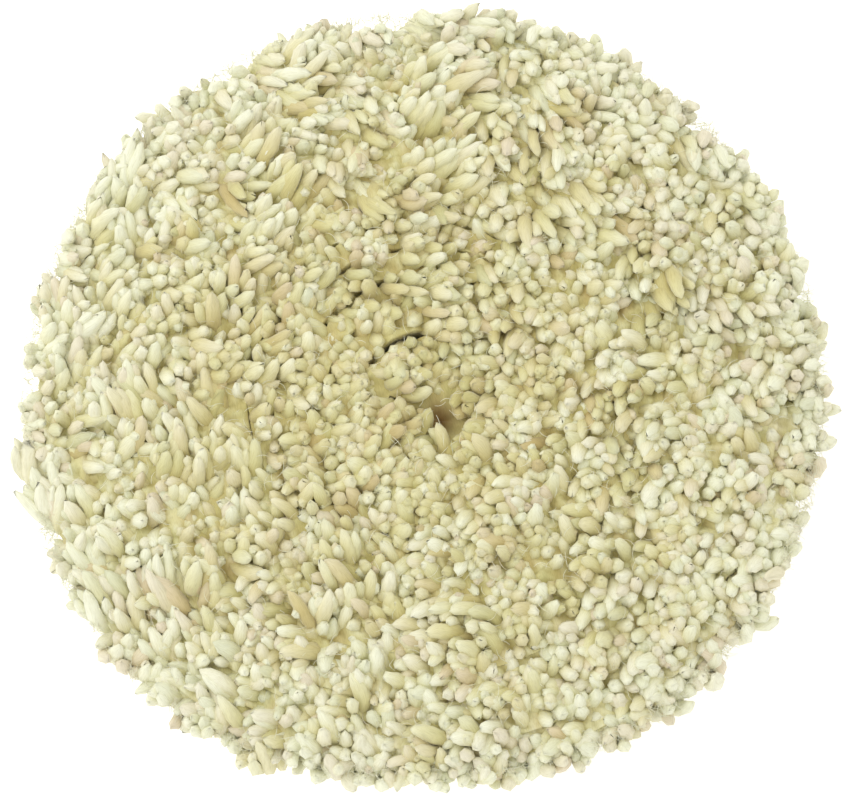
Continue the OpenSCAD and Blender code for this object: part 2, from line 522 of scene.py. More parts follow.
def lean_share(t):
    """How much of its whole lean the wool has at share t of its height, so the rim is rounded."""
    return 0.55 * np.sin(LEAN_TURN * t) / math.sin(LEAN_TURN) + 0.45 * t


def closing_shift(section, settings):
    """How far the ring's tips sit off the axis: the wool closes a little to one side."""
    nearness = max(0.0, 1 - section.foot / settings.closing_reach)
    return np.array(settings.dimple_offset) * min(1.0, 1.35 * nearness) ** 1.5


def middle_darkening(x, y, settings):
    """How far the wool's colour moves down its depth ramp, darker and yellower, at a place: most by the
    dimple, where it is painted shade in the hollow, and least at the rim.
    """
    dimple_x, dimple_y = settings.dimple_offset
    near = np.exp(-(np.hypot(x - dimple_x, y - dimple_y) / (3 * settings.dimple_r)) ** 2)
    return (settings.middle_darkening * (1 - 2.5 * (x ** 2 + y ** 2) / CAD_HIGH.x ** 2)
            + settings.dimple_shade * near)


def rim_reach(out, settings):
    """How far the rim reaches along each heading. It is pressed in where the pad has stood."""
    side = math.cos(settings.flat_side), math.sin(settings.flat_side)
    return CAD_HIGH.x - settings.flat_depth * np.maximum(0, out @ side) ** 10


class Yarns:
    """A ring's yarns: where each starts and ends, how its end flops, and how high it stands."""

    def __init__(self, section, settings, rng, clumps, at_rim):
        spacing = settings.rim_spacing if at_rim else settings.yarn_spacing
        if section.foot < settings.close_r:
            spacing = settings.close_spacing
        count = round(2 * math.pi * section.foot / spacing)
        turn = 2 * math.pi / count
        angle = (np.arange(count) + rng.uniform(-0.2, 0.2, count) + rng.uniform(0, 1)) * turn
        out = headings(angle)
        self.count = count
        self.low = section.low
        self.along_ring = np.stack([-out[:, 1], out[:, 0], np.zeros(count)], axis=1)
        self.base = out * (section.foot + rng.uniform(-0.5, 0.5, count) * MM)[:, None]

        # the tips fill the ring's share of the face, and those by the hole close over it
        tip_r = np.sqrt(rng.uniform(section.tip_in ** 2, section.tip_out ** 2, count))
        tip = out * tip_r[:, None] + closing_shift(section, settings)
        centres, pulls = clumps
        nearest = np.argmin(((tip[:, None] - centres[None]) ** 2).sum(-1), axis=1)
        pull = 0.3 if at_rim else 1
        tip += (centres[nearest] - tip) * pulls[nearest][:, None] * pull
        tip += rng.normal(0, settings.untidiness, (count, 2))
        x, y = tip.T

        # the ends flop over, mostly clockwise, each patch a little its own way, and less
        # towards +X and -Y, where the face was pressed less
        far_out = min(1.0, section.foot / settings.closing_reach)
        pressed = np.clip(1 - 0.4 * (x - y) / CAD_HIGH.x, 0.5, 1.15)[:, None]
        self.flop = ((-self.along_ring[:, :2] * settings.swirl
                      + patch_flow(x, y, 34 * MM, 3) * settings.patch_flop
                      + rng.normal(0, settings.yarn_flop, (count, 2))) * pressed
                     * (0.4 + 0.6 * far_out))
        # by the hole they bend inwards over it
        inward = out * settings.inward_flop * max(0.0, 1 - 1.6 * far_out)
        self.flop -= inward
        tip += inward
        limit = rim_reach(out, settings) + rng.uniform(-3.8, -0.8, count) * MM
        reach = np.linalg.norm(tip + self.flop, axis=1)
        self.tip = tip * np.minimum(1, limit / reach)[:, None]
        self.drop = (self.flop ** 2).sum(-1) / (4 * settings.flop_length)
        self.height = (section.high - section.low - 1.2 * MM + 0.7 * self.drop
                       + waves(x, y, 22 * MM, 5) * settings.swell
                       + rng.normal(0, settings.uneven_height, count))
        self.bow = rng.normal(0, 0.8 * MM, (count, 2))
        self.flop_from = 1 - settings.flop_length / self.height

    def points(self, t):
        """Points on each yarn's middle line at each share t of its height."""
        bent = np.clip((t - self.flop_from[:, None]) / (1 - self.flop_from[:, None]), 0, 1) ** 2
        flat = (self.base[:, None] + (self.tip - self.base)[:, None] * lean_share(t)[..., None]
                + self.bow[:, None] * np.sin(math.pi * t)[..., None]
                + self.flop[:, None] * bent[..., None])
        z = self.low - 0.3 * MM + (self.height[:, None] + 0.3 * MM) * t - self.drop[:, None] * bent
        return np.concatenate([flat, z[..., None]], axis=-1)


def wool_plies(section, settings, rng, clumps, at_rim):
    """A ring's plies as closed tubes: each yarn's plies twist, open and round off at the cut. Away
    from the rim they start inside the matted wool, as nothing shows below it. Neighbouring tubes
    pass into one another, as wool does when it is pressed together."""
    yarns = Yarns(section, settings, rng, clumps, at_rim)
    count, plies, sides = yarns.count, settings.plies, settings.ply_sides
    rings = settings.rim_rings if at_rim else settings.rings
    start = 0 if at_rim else 1 - settings.shown_length / yarns.height.mean()
    # rings of points crowd towards the cut end, which is bent and round
    step = np.linspace(0, 1, rings)
    t = np.tile(1 - (1 - start) * (1 - step) ** 1.5, (count, 1))
    middle = yarns.points(t)
    first, second = tube_frames(middle, yarns.along_ring)
    length = yarns.height[:, None]

    turns = length / settings.twist_pitch
    start_angle = rng.uniform(0, 2 * math.pi, (count, 1))
    open_up = np.clip((t - 0.66) / 0.34, 0, 1) ** 1.5
    to_tip = (1 - t) * length
    lines, radii = [], []
    for ply in range(plies):
        spread = rng.uniform(0.0, 0.9, (count, 1))
        angle = (start_angle + 2 * math.pi * (ply / plies + turns * (t - 0.12 * open_up))
                 + rng.uniform(-0.3, 0.3, (count, 1)))
        reach = settings.ply_d * 0.5 * (1 + spread * open_up)
        line = (middle + reach[..., None] * (np.cos(angle)[..., None] * first
                                             + np.sin(angle)[..., None] * second))
        stray = rng.normal(0, settings.ply_flop, (count, 3)) * (1, 1, 0.5)
        line += stray[:, None] * (t ** 5)[..., None]
        line[..., 2] -= rng.uniform(0, settings.uneven_cut, (count, 1))
        thick = settings.ply_d / 2 * rng.uniform(0.72, 1.15, (count, 1))
        round_off = np.clip(to_tip / (settings.tip_taper * thick), 0, 1)
        radius = thick * np.sqrt(1 - (1 - round_off) ** 2 * 0.99)
        radius *= 1 + rng.uniform(-0.06, 0.06, radius.shape)
        lines.append(line)
        radii.append(radius)
    radii = np.concatenate(radii)
    refs = np.tile(yarns.along_ring, (plies, 1))
    points, faces = sweep_tubes(np.concatenate(lines), refs, radii, sides)
    points += rng.normal(0, settings.fuzz, points.shape)

    # the wool is paler in some patches than in others, and darker and yellower towards the middle, with
    # painted shade round the dimple
    end_x, end_y = middle[:, -1, 0], middle[:, -1, 1]
    patchy = (settings.patchiness * waves(end_x, end_y, 13 * MM, 9)
              + middle_darkening(end_x, end_y, settings))[:, None]
    # painted shade: each ply darkens with its distance below its tip, as the shade between the yarns
    # deepens; at the rim, lit from the side, it darkens over a longer length
    pale = settings.rim_pale_length if at_rim else settings.pale_length
    depth = np.clip(0.5 * to_tip / pale + 0.1 + patchy, 0, 0.68)
    shade = np.clip(rng.normal(0.5, 0.22, (count * plies, 1)), 0, 1)
    ring_turn = np.tile(np.arange(sides) / sides, rings)
    around = np.tile(np.concatenate([ring_turn, [0.0, 0.0]]), count * plies)
    # each ply starts at its own place in the pattern, and its fibres lie on a slight slant
    apart = per_point(rng.uniform(0, 60, (count * plies, 1)) * np.ones_like(radii), sides)
    down = per_point(np.tile(t * length, (plies, 1)) / MM, sides)
    mirrored = 1 - np.abs(around * 2 - 1)
    return (points, faces, per_point(np.tile(depth, (plies, 1)), sides),
            per_point(shade * np.ones_like(radii), sides),
            np.stack([mirrored + apart + down * 0.05, down + apart], axis=1))


def wool_core(section, settings, closed):
    """The matted wool between a ring's yarns: a lumpy ring that stops short of the tips. The
    innermost one is closed over the hole."""
    top = section.high - section.low - 1.2 * MM - settings.core_depth
    t = np.linspace(0, 1, 7)
    across = np.array([0.012, 0.2, 0.4, 0.6, 0.8, 0.988])
    tip_in = 0 if closed else section.tip_in
    inside = np.maximum(section.foot_in + (tip_in - section.foot_in) * lean_share(t), 0.02 * MM)
    outside = section.foot_out + (section.tip_out - section.foot_out) * lean_share(t)
    crown = inside[-1] + (outside[-1] - inside[-1]) * across
    radius = np.concatenate([inside, crown, outside[::-1]])
    share = np.concatenate([t, np.ones_like(across), t[::-1]])
    count = max(24, round(2 * math.pi * section.tip_out / (1.2 * MM)))
    angle = np.arange(count) * 2 * math.pi / count
    out = headings(angle)
    # it keeps inside the yarns at the rim
    kept_in = np.minimum(1, (rim_reach(out, settings) - settings.core_inset) / section.tip_out)
    radius = radius * (1 - (1 - kept_in[:, None]) * share)
    flat = (out[:, None] * radius[..., None]
            + closing_shift(section, settings) * lean_share(share)[None, :, None])
    x, y = flat[..., 0], flat[..., 1]
    lumps = (waves(x, y, 9 * MM, 6) + 1.2 * waves(x, y, 3.6 * MM, 7, 12)) * share
    from_dimple = np.linalg.norm(flat - settings.dimple_offset, axis=-1)
    sunk = np.exp(-(from_dimple / settings.dimple_r) ** 2) * share
    z = (section.low + top * share + lumps * settings.core_lumps
         - sunk * settings.dimple_sink)
    points = np.concatenate([flat, z[..., None]], axis=-1)
    # painted shade: the matted wool takes the depth ramp's darker mid tones for lying below the tips, is
    # painted paler on its lumps and darker between them, and darkens down into the dimple
    depth = np.clip(0.6 - 0.1 * lumps + middle_darkening(x, y, settings), 0, 0.7) + 0.3 * sunk
    shade = np.clip(0.5 + 0.25 * waves(x, y, 9 * MM, 8), 0, 1)
    uv = np.stack([x * 0.15, y], axis=-1) / MM
    return (points.reshape(-1, 3), turned_faces(count, radius.shape[1]), depth.ravel(),
            shade.ravel(), uv.reshape(-1, 2))


def wool_ring(name, section, settings, rng, clumps, material):
    """One ring of tufts: its yarns and the matted wool between them."""
    first, *_, last = ring_names()
    parts = [wool_core(section, settings, name == first),
             wool_plies(section, settings, rng, clumps, name == last)]
    depth, shade, uv = (np.concatenate([part[i] for part in parts]) for i in (2, 3, 4))
    piece = new_piece(name.replace("pile_row", "wool_ring"),
                      *join([part[:2] for part in parts]), material)
    add_attribute(piece, "depth", depth)
    add_attribute(piece, "shade", shade)
    add_uv_map(piece, "ply", uv)
    finish_piece(piece, "wool_yarn", name)


def stray_fibres(settings, rng, material):
    """Single fibres that have come loose from the yarns and stand off the wool's face and rim."""
    count, rings = settings.fibres, 5
    crown = list(ring_sections().values())
    side = crown[-1]
    tips = np.array([section.tip for section in crown])
    tops = np.array([section.high for section in crown]) - 1.6 * MM
    rim = rng.uniform(0, 1, count) < 0.7
    angle = rng.uniform(0, 2 * math.pi, count)
    out = headings(angle)
    # those at the rim stand off the wool's leaning side, mostly high up
    edge = rim_reach(out, settings) - 1.6 * MM
    up = 1 - rng.uniform(0, 0.8, count) ** 2
    leaning = side.foot_out + (edge - side.foot_out) * lean_share(up)
    face = np.sqrt(rng.uniform(0, 1, count)) * (edge - 3 * MM)
    reach = np.where(rim, leaning + rng.uniform(-2.0, 0.3, count) * MM, face)
    top = np.where(rim, side.low + (tops[-1] - side.low) * up,
                   np.interp(face, tips, tops) + rng.normal(0, 0.6 * MM, count))
    start = np.concatenate([out * reach[:, None], top[:, None]], axis=1)
    outward = np.concatenate([out * (1 + np.where(rim, 1.0, -0.4))[:, None],
                              np.where(rim, 0.2, 0.8)[:, None]], axis=1)
    heading = unit(rng.normal(0, 1, (count, 3)) * (1, 1, 0.35) + outward * 0.45)
    curl = unit(np.cross(heading, rng.normal(0, 1, (count, 3))))
    length = rng.uniform(2.0, 4.5, count) * MM
    t = np.linspace(-0.5, 0.5, rings)
    lines = (start[:, None] + heading[:, None] * (t * length[:, None])[..., None]
             + curl[:, None] * ((t ** 2 - 0.08) * length[:, None] * 0.7)[..., None])
    far = np.hypot(lines[..., 0], lines[..., 1])
    lines[..., :2] *= np.minimum(1, (edge[:, None] + 3.0 * MM) / far)[..., None]
    radii = np.tile(settings.fibre_d / 2 * (1 - 0.4 * np.abs(t * 2)), (count, 1))
    points, faces = sweep_tubes(lines, curl, radii, 3)
    piece = new_piece("stray_fibres", points, faces, material)
    add_attribute(piece, "depth", np.zeros(len(points)))
    shade = np.clip(rng.normal(0.5, 0.22, (count, 1)), 0, 1)
    add_attribute(piece, "shade", per_point(shade * np.ones_like(radii), 3))
    add_uv_map(piece, "ply", points[:, :2] / MM)
    finish_piece(piece, "wool_yarn")


# ---------- backing ----------

def flat_layer(node, name, slot, material, rng, ragged, lumps):
    """A cloth or felt layer: a flat ring that is cut a little raggedly and not quite level."""
    layer = Layer(node)
    count = 360
    radius, z = washer_section(layer.r_in, layer.r_out, layer.low, layer.high, 24, 0.12 * MM)
    radius, z = np.tile(radius, (count, 1)), np.tile(z, (count, 1))
    # the cut edge at the hole is ragged outwards, so the hole stays clear
    radius += np.where(radius < layer.r_in + 0.2 * MM,
                       np.abs(rng.normal(0, ragged, radius.shape)), 0)
    angle = np.arange(count)[:, None] * 2 * math.pi / count
    rise = waves(radius * np.cos(angle), radius * np.sin(angle), 9 * MM, 12)
    middle = (layer.low + layer.high) / 2
    z += np.where(z > middle, -1, 1) * np.abs(rise) * lumps
    piece = new_piece(name, *revolve(radius, z), material)
    finish_piece(piece, slot, node)
    return piece, layer


def yarn_back_stitches(settings, rng, material):
    """The yarn's flat stitches on the back of the canvas, from one tuft to the next."""
    node = Layer("back_stitches")
    middle = (node.low + node.high) / 2
    shapes = []
    for section in ring_sections().values():
        count = round(2 * math.pi * section.foot / settings.back_stitch)
        turn = 2 * math.pi / count
        t = np.linspace(0.04, 0.96, 5)
        angle = (np.arange(count)[:, None] + t) * turn
        lines = np.stack([section.foot * np.cos(angle), section.foot * np.sin(angle),
                          np.zeros_like(angle)], axis=-1)
        out = np.stack([np.cos(angle[:, 2]), np.sin(angle[:, 2]), np.zeros(count)], axis=1)
        radii = np.tile(settings.back_width / 2 * np.array([0.6, 0.95, 1, 0.95, 0.6]), (count, 1))
        radii *= rng.uniform(0.9, 1.0, (count, 1))
        points, ring_faces = sweep_tubes(lines, out, radii, 8)
        points[:, 2] = middle + points[:, 2] * (node.high - node.low) / settings.back_width
        shapes.append((points, ring_faces))
    points, faces = join(shapes)
    piece = new_piece("yarn_back_stitches", points, faces, material)
    add_attribute(piece, "depth", np.full(len(points), 0.6))
    add_attribute(piece, "shade", np.full(len(points), 0.5))
    add_uv_map(piece, "ply", points[:, :2] / MM)
    finish_piece(piece, "wool_yarn", "back_stitches")


def nap_bands(layer, lanes, lane_width):
    """The rings of nap that the stitch lanes leave, as pairs of radii."""
    edges = [layer.r_in]
    for lane in lanes:
        edges += [lane - lane_width / 2, lane + lane_width / 2]
    edges.append(layer.r_out)
    return list(zip(edges[::2], edges[1::2]))


def nap_piece(name, bands, layer, settings, rng, material):
    """Brushed loops over a thin mat of their own fibres, in one or more bands."""
    shapes = []
    mat_low = layer.low + settings.mat_depth
    for r_in, r_out in bands:
        steps = max(3, round((r_out - r_in) / (2 * MM)))
        count = round(2 * math.pi * r_out / (2 * MM))
        radius, z = washer_section(r_in, r_out, mat_low, layer.high, steps, 0.1 * MM)
        radius, z = np.tile(radius, (count, 1)), np.tile(z, (count, 1))
        z = np.where(z < mat_low + 0.05 * MM, z + rng.uniform(0, 0.3 * MM, z.shape), z)
        shapes.append(revolve(radius, z))

        loops = round(math.pi * (r_out ** 2 - r_in ** 2) / settings.loop_spacing ** 2)
        inset = 0.4 * MM
        reach = np.sqrt(rng.uniform((r_in + inset) ** 2, (r_out - inset) ** 2, loops))
        angle = rng.uniform(0, 2 * math.pi, loops)
        foot = np.stack([reach * np.cos(angle), reach * np.sin(angle),
                         np.full(loops, layer.high - 0.5 * MM)], axis=1)
        heading = rng.uniform(0, 2 * math.pi, loops)
        across = np.stack([np.cos(heading), np.sin(heading), np.zeros(loops)], axis=1)
        side = np.stack([-across[:, 1], across[:, 0], np.zeros(loops)], axis=1)
        lean = side * rng.normal(0, 0.5 * MM, (loops, 1))
        t = np.linspace(0, math.pi, 6)
        tall = rng.uniform(0.75, 1.0, loops) * (foot[:, 2] - layer.low - settings.loop_d / 2)
        wide = rng.uniform(0.5, 0.9, loops) * MM
        lines = (foot[:, None] - across[:, None] * (np.cos(t) * wide[:, None])[..., None]
                 + lean[:, None] * np.sin(t)[..., None])
        lines[..., 2] -= np.sin(t) * tall[:, None]
        radii = np.full((loops, 6), settings.loop_d / 2)
        shapes.append(sweep_tubes(lines, side, radii, 3))
    piece = new_piece(name, *join(shapes), material)
    finish_piece(piece, "loop_nap", "loop_nap")


def edge_binding(settings, material):
    """Twill tape folded round the layers' edge, which the stitches pull in between its puffs."""
    layer = Layer("edge_binding")
    thick = settings.tape_thickness
    bend = settings.fold_radius
    turn = np.linspace(0, math.pi / 2, 5)
    flat = np.linspace(layer.r_in + 0.3 * thick, layer.r_out - bend, 7)
    # the outer face, from the inner edge of the top to the inner edge of the bottom
    outer_r = np.concatenate([flat, layer.r_out - bend + bend * np.sin(turn[1:]),
                              layer.r_out - bend + bend * np.cos(turn), flat[-2::-1]])
    outer_z = np.concatenate([np.full(7, layer.high),
                              layer.high - bend + bend * np.cos(turn[1:]),
                              layer.low + bend - bend * np.sin(turn), np.full(6, layer.low)])
    inner_bend = 0.3 * MM
    inner_r = np.minimum(outer_r, layer.r_out - thick)
    inner_r = np.where(np.abs(outer_z - (layer.high + layer.low) / 2)
                       > (layer.high - layer.low) / 2 - bend * 0.3,
                       np.minimum(outer_r, layer.r_out - thick - inner_bend), inner_r)
    inner_z = np.clip(outer_z, layer.low + thick, layer.high - thick)
    section_r = np.concatenate([outer_r, inner_r[::-1]])
    section_z = np.concatenate([outer_z, inner_z[::-1]])
    count = settings.edge_stitches * 10
    angle = np.arange(count)[:, None] * 2 * math.pi / count
    puff = np.abs(np.sin(angle * settings.edge_stitches / 2)) ** 0.7 * settings.puff
    is_outer = np.arange(len(section_r)) < len(outer_r)
    middle_z = (layer.high + layer.low) / 2
    outwards = unit(np.stack([np.maximum(section_r - (layer.r_out - bend), 0),
                              section_z - middle_z], axis=1)) * is_outer[:, None]
    radius = section_r + outwards[:, 0] * puff
    z = section_z + outwards[:, 1] * puff
    piece = new_piece("folded_binding_tape", *revolve(radius, z), material)
    steps = np.hypot(np.diff(section_r), np.diff(section_z))
    across = np.concatenate([[0], np.cumsum(steps)]) / MM
    around = np.abs(np.arange(count) / count * 2 - 1) * math.pi * layer.r_out / MM
    u, v = np.meshgrid(around, across, indexing="ij")
    add_uv_map(piece, "tape", np.stack([u, v], axis=-1).reshape(-1, 2))
    finish_piece(piece, "binding_tape", "edge_binding")


def binding_stitches(settings, material):
    """Thread stitches over the binding, from the inner edge of its top to that of its bottom."""
    layer = Layer("edge_stitches")
    half = settings.thread_d / 2
    r_in, r_out = layer.r_in + half, layer.r_out - half
    low, high = layer.low + half, layer.high - half
    bend = 1.2 * MM
    turn = np.linspace(0, math.pi / 2, 6)
    flat = np.linspace(r_in, r_out - bend, 8)
    dip = 0.5 * MM * np.array([1, *np.zeros(7)])
    radius = np.concatenate([flat, r_out - bend + bend * np.sin(turn[1:]),
                             r_out - bend + bend * np.cos(turn), flat[-2::-1]])
    z = np.concatenate([high - dip, high - bend + bend * np.cos(turn[1:]),
                        low + bend - bend * np.sin(turn), low + dip[-2::-1]])
    count = settings.edge_stitches
    # each stitch slants a little along the tape
    slant = np.linspace(-0.5, 0.5, len(radius)) * settings.slant / layer.r_out
    angle = (np.arange(count) * 2 * math.pi / count)[:, None] + slant
    lines = np.stack([radius * np.cos(angle), radius * np.sin(angle),
                      np.tile(z, (count, 1))], axis=-1)
    middle = angle[:, len(radius) // 2]
    across = np.stack([-np.sin(middle), np.cos(middle), np.zeros(count)], axis=1)
    shape = twist_thread(lines, across, settings.thread_d, settings.thread_pitch)
    finish_piece(new_piece("binding_stitches", *shape, material), "sewing_thread",
                 "edge_stitches")


def lock_stitches(node, settings, material):
    """A ring of stitches that dive into the loop cloth at both ends."""
    layer = Layer(node)
    count = round(2 * math.pi * layer.middle / (settings.stitch_length + settings.stitch_gap))
    turn = 2 * math.pi / count
    arc = turn * settings.stitch_length / (settings.stitch_length + settings.stitch_gap)
    t = np.linspace(0, 1, 14)
    angle = np.arange(count)[:, None] * turn + t * arc
    sunk = settings.thread_d * np.abs(2 * t - 1) ** 6
    z = np.tile((layer.low + layer.high) / 2 + sunk, (count, 1))
    lines = np.stack([layer.middle * np.cos(angle), layer.middle * np.sin(angle), z], axis=-1)
    middle = angle[:, 7]
    across = np.stack([np.cos(middle), np.sin(middle), np.zeros(count)], axis=1)
    shape = twist_thread(lines, across, settings.thread_d, settings.thread_pitch)
    finish_piece(new_piece(node + "_thread", *shape, material), "sewing_thread", node)


# ---------- pieces' places in the frame ----------

def finish_piece(piece, slot, *nodes):
    """The piece rides on the pad, and stands for CAD nodes, which are hidden."""
    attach(piece, BODY)
    if nodes:
        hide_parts(*nodes)


def set_material(node, material):
    """Gives a CAD node its material."""
    NODES[node].data.materials.clear()
    NODES[node].data.materials.append(material)


# ---------- settings ----------

def length_property(name, description, millimetres):
    """A length that can be set, with its default in millimetres."""
    return bpy.props.FloatProperty(name=name, description=description,
                                   default=millimetres * MM, unit="LENGTH")


def colour_property(name, description, hex_colour):
    """A colour that can be set."""
    return bpy.props.FloatVectorProperty(name=name, description=description, size=4, min=0,
                                         max=1, default=linear(hex_colour), subtype="COLOR")


class PadWoolSettings(bpy.types.PropertyGroup):
    """Sizes and colours of the wool."""
    tip_colour: colour_property("Tip colour",
                                "Colour of the wool at its palest cut ends", "#f3f2e6")
    # painted shade: the dark brown that the depth ramp reaches at the dimple's bottom
    deep_shade_colour: colour_property("Deep colour",
                                 "Colour of the wool at the dimple's bottom", "#806234")
    yarn_spacing: length_property("Yarn spacing", "Distance between yarns along a ring", 3.5)
    rim_spacing: length_property("Rim spacing",
                                 "Distance between yarns along the outermost ring", 3.3)
    close_spacing: length_property("Close spacing",
                                   "Distance between yarns of the rings by the hole", 2.7)
    close_r: length_property("Close radius", "Radius within which the yarns stand closer", 24)
    ply_d: length_property("Ply diameter", "Thickness of one ply of the yarn", 4.0)
    plies: bpy.props.IntProperty(
        name="Plies", description="Plies twisted into one yarn", default=4, min=2, max=5)
    tip_taper: bpy.props.FloatProperty(
        name="Tip taper", description="Length of a ply's tapered end, in half thicknesses",
        default=1.8, min=1, max=5)
    flop_length: length_property("Flop length", "Length of yarn that bends over at the cut end", 13)
    swirl: length_property("Swirl", "How far the ends flop round the pad", 4.0)
    patch_flop: length_property("Patch flop", "How far each patch of ends flops its own way", 3.4)
    inward_flop: length_property("Inward flop", "How far the ends by the hole bend in over it", 5)
    dimple_r: length_property("Dimple radius", "Radius of the hollow where the wool closes", 3.8)
    # painted shade in the hollow of the dimple
    dimple_shade: bpy.props.FloatProperty(
        name="Dimple tint", description="How much yellower the wool is round the dimple",
        default=0.2, min=0, max=0.5)
    dimple_sink: length_property("Dimple sink", "How far the matted wool sinks at the dimple", 5)
    flat_side: bpy.props.FloatProperty(
        name="Flat side", description="The side on which the rim is pressed in",
        default=math.radians(-105), subtype="ANGLE")
    flat_depth: length_property("Flat depth", "How far the rim is pressed in on that side", 4.5)
    patchiness: bpy.props.FloatProperty(
        name="Patchiness", description="How much the wool's paleness varies over the face",
        default=0.2, min=0, max=1)
    # darkens and yellows the wool towards the middle and pales it at the rim
    middle_darkening: bpy.props.FloatProperty(
        name="Yellowing", description="How much yellower the wool is in the middle",
        default=0.17, min=0, max=0.5)
    yarn_flop: length_property("Yarn flop", "How far each end flops its own way", 2.2)
    ply_flop: length_property("Ply stray", "How far a ply's end strays from its yarn", 0.9)
    untidiness: length_property("Untidiness", "How far a yarn strays from its even place", 0.8)
    uneven_height: length_property("Uneven height",
                                   "How far a yarn's height strays from its neighbours'", 0.5)
    swell: length_property("Swell", "How far the face rises and falls in broad patches", 1.2)
    uneven_cut: length_property("Uneven cut",
                                "How much shorter than its yarn a ply may be cut", 1.4)
    # painted shade: the distance over which a ply's colour darkens below its tip
    pale_length: length_property("Pale length",
                                 "Distance from the tip over which the wool darkens", 5)
    rim_pale_length: length_property("Rim pale length",
                                     "The same for the outermost ring, lit from the side", 15)
    core_depth: length_property("Core depth", "How far the matted wool lies below the tips", 3.7)
    core_inset: length_property("Core inset", "How far the matted wool stays inside the rim", 5)
    core_lumps: length_property("Core lumps", "How far the matted wool rises and falls", 0.7)
    fuzz: length_property("Fuzz", "How rough a ply's surface is", 0.13)
    fibres: bpy.props.IntProperty(
        name="Stray fibres", description="Number of loose fibres on the face and rim",
        default=6000, min=0, max=6500)
    fibre_d: length_property("Fibre diameter", "Thickness of a stray wisp of fibres", 0.16)
    closing_reach: length_property("Closing reach",
                                   "Radius within which the wool closes over the hole", 42)
    twist_pitch: length_property("Twist pitch", "Length of yarn for one turn of its plies", 14)
    ply_sides: bpy.props.IntProperty(
        name="Sides", description="Sides of a ply's round section", default=6, min=5, max=12)
    rings: bpy.props.IntProperty(
        name="Rings", description="Rings of points along the shown part of a ply",
        default=9, min=6, max=30)
    shown_length: length_property("Shown length",
                                  "Length of ply made above and within the matted wool", 12)
    rim_rings: bpy.props.IntProperty(
        name="Rim rings", description="Rings of points along a ply at the rim, seen whole",
        default=13, min=8, max=30)
    dimple_offset: bpy.props.FloatVectorProperty(
        name="Dimple offset", description="How far the wool closes from the hole's axis",
        size=2, default=(3.0 * MM, -8.9 * MM), unit="LENGTH")
    clump_spacing: length_property("Clump spacing", "Distance between clumps of yarns", 8.5)


class PadBackingSettings(bpy.types.PropertyGroup):
    """Sizes of the layers under the wool."""
    ragged_edge: length_property("Ragged edge", "How raggedly the layers are cut at the hole", 0.12)
    unevenness: length_property("Unevenness", "How far a layer's face dips", 0.04)
    back_stitch: length_property("Back stitch", "Length of one yarn stitch on the canvas's back", 8)
    back_width: length_property("Back stitch width", "Width of the yarn where it lies flat", 3.2)


class PadLoopSettings(bpy.types.PropertyGroup):
    """Sizes and colour of the loop face."""
    loop_colour: colour_property("Loop colour", "Colour of the brushed loops", "#edebe4")
    loop_spacing: length_property("Loop spacing", "Distance between one loop and the next", 1.9)
    loop_d: length_property("Loop thickness", "Thickness of one brushed loop", 0.3)
    mat_depth: length_property("Mat depth",
                               "How far the loops stand off the mat of their own fibres", 0.7)
    split_r: length_property("Split radius",
                             "Radius at which the nap is made as a second piece", 58)


class PadSewingSettings(bpy.types.PropertyGroup):
    """Sizes and colours of the binding tape and the sewing thread."""
    tape_colour: colour_property("Tape colour", "Colour of the binding tape", "#e4e0d0")
    thread_colour: colour_property("Thread colour", "Colour of the sewing thread", "#f7f5ec")
    tape_thickness: length_property("Tape thickness", "Thickness of the binding tape", 0.68)
    fold_radius: length_property("Fold radius", "Radius of the tape's folds at the rim", 1.4)
    puff: length_property("Puff", "How far the tape stands out between its stitches", 0.35)
    edge_stitches: bpy.props.IntProperty(
        name="Edge stitches", description="Number of stitches over the binding",
        default=72, min=12, max=200)
    slant: length_property("Slant", "How far a stitch slants along the tape", 2.2)
    thread_d: length_property("Thread diameter", "Thickness of the sewing thread", 0.8)
    thread_pitch: length_property("Thread pitch", "Length of thread for one turn of its plies", 2.2)
    stitch_length: length_property("Lock stitch", "Length of one lock stitch", 5)
    stitch_gap: length_property("Lock stitch gap", "Gap between one lock stitch and the next", 2)


class PadStageSettings(bpy.types.PropertyGroup):
    """The floor, lights and camera."""
    elevation: bpy.props.FloatProperty(
        name="Elevation", description="How high the camera stands above the horizon",
        default=math.radians(77), subtype="ANGLE")
    roll: bpy.props.FloatProperty(
        name="Roll", description="How far the camera is turned about its line of sight",
        default=math.radians(-15), subtype="ANGLE")
    distance: bpy.props.FloatProperty(
        name="Distance", description="From the camera to the pad's middle",
        default=0.62, unit="LENGTH")
    field_width: bpy.props.FloatProperty(
        name="Field width", description="Width in view at the pad's middle",
        default=0.2134, unit="LENGTH")
    shift: bpy.props.FloatVectorProperty(
        name="Shift", description="How far the view is shifted, in shares of its width",
        size=2, default=(0.007, -0.0055))
    room_light: bpy.props.FloatProperty(
        name="Room light", description="Brightness of the white room", default=0.985, min=0)
    key_power: bpy.props.FloatProperty(
        name="Key light", description="Power of the soft light", default=1.8, min=0,
        unit="POWER")
    floor_glow: bpy.props.FloatProperty(
        name="Floor glow", description="How much light the floor gives off by itself",
        default=0.3, min=0)


# ---------- operators ----------

class PAD_OT_wool(bpy.types.Operator):
    """Makes the rings of tufted wool"""
    bl_idname = "pad.wool"
    bl_label = "Wool rings"

    def execute(self, context):
        settings = context.scene.pad_wool
        rng = np.random.default_rng(11)
        centres = clump_centres(CAD_HIGH.x * 1.1, settings.clump_spacing, rng)
        clumps = centres, rng.uniform(0.05, 0.42, len(centres))
        material = wool_material(settings)
        for name, section in ring_sections().items():
            wool_ring(name, section, settings, rng, clumps, material)
        stray_fibres(settings, rng, material)
        yarn_back_stitches(context.scene.pad_backing, rng, material)
        return {"FINISHED"}


